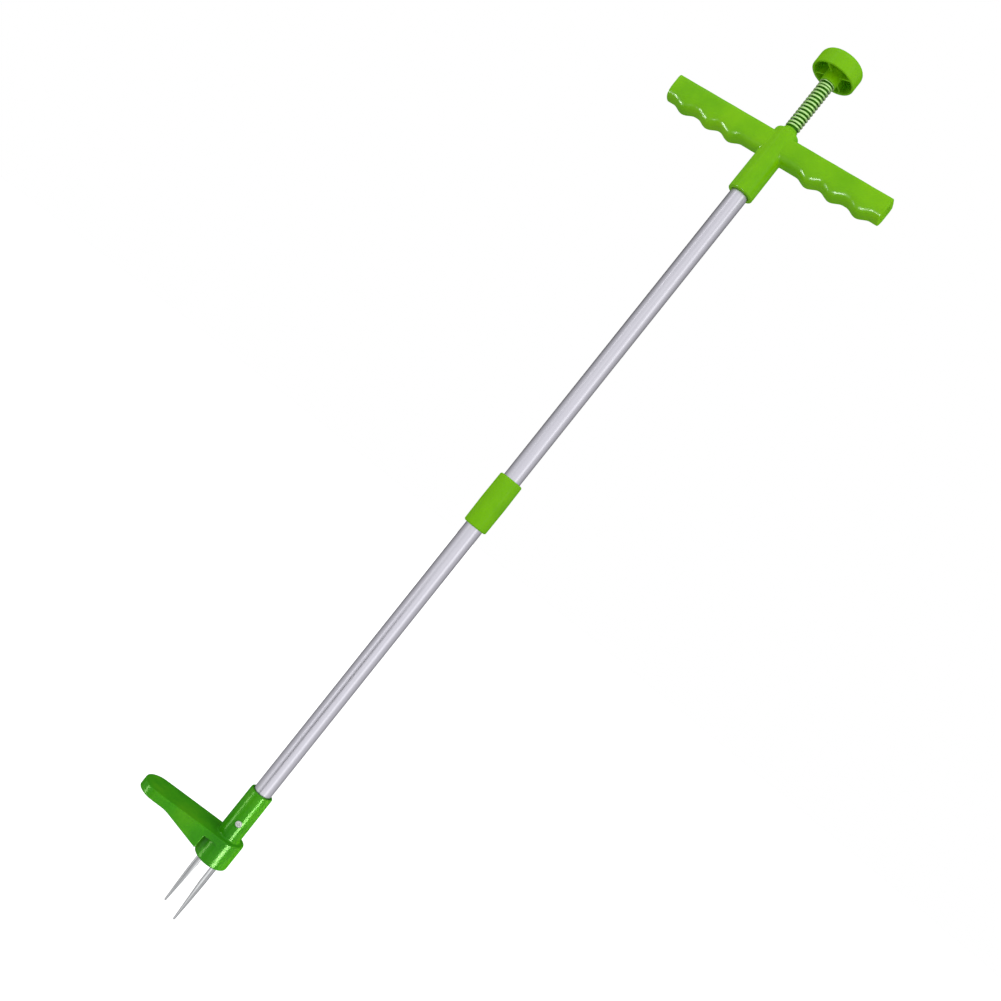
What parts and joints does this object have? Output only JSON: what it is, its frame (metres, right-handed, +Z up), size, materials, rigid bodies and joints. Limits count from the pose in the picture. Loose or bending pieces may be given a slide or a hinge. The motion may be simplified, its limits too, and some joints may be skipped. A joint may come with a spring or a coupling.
{
  "type": "stand up weeder",
  "caption": "Stand-up weeding tool with a T-handle, foot pedal, steel tines and a sprung push knob that drives an ejector plate down between the tines.",
  "frame": {"origin": "on the shaft's axis, level with the tips of the tines", "axes": "+Z up the shaft towards the knob, the foot pedal points to -X, and the handle bar is turned 23.7 degrees clockwise about +Z from the X axis"},
  "size_m": [0.2216, 0.1126, 0.9845],
  "materials": {
    "lime_plastic": "satin moulded lime green",
    "head_green": "glossy moulded mid green",
    "aluminium": "drawn and anodised, satin",
    "tine_steel": "polished along its length",
    "steel": "zinc plated",
    "spring_steel": "plated wire",
    "brass": "machined",
    "nylon": "moulded black nylon"
  },
  "bodies": {
    "frame": {"foot_head": "head_green", "foot_bush": "nylon", "foot_screw": "steel", "tine_near": "tine_steel", "tine_far": "tine_steel", "tine_screw_near": "steel", "tine_screw_far": "steel", "lower_tube": "aluminium", "upper_tube": "aluminium", "middle_coupler": "lime_plastic", "lower_joint_insert": "nylon", "upper_joint_insert": "nylon", "handle_body": "lime_plastic", "handle_end_plug_right": "lime_plastic", "handle_end_plug_left": "lime_plastic", "handle_screw": "steel", "hub_bush": "lime_plastic", "return_spring": "spring_steel"},
    "plunger": {"push_knob": "lime_plastic", "knob_insert": "brass", "spring_washer": "steel", "spring_guide": "lime_plastic", "push_rod_upper": "steel", "push_rod_lower": "steel", "rod_joiner": "steel", "retaining_clip": "steel", "ejector_plate": "steel", "ejector_nut": "steel"}
  },
  "joints": [
    {"name": "plunger_press", "type": "slide", "parent": "frame", "child": "plunger", "axis": [0, 0, -1], "range_m": [0, 0.02], "stiffness_N_per_m": 1000, "springref_m": -0.01, "deforming": ["return_spring"]}
  ]
}
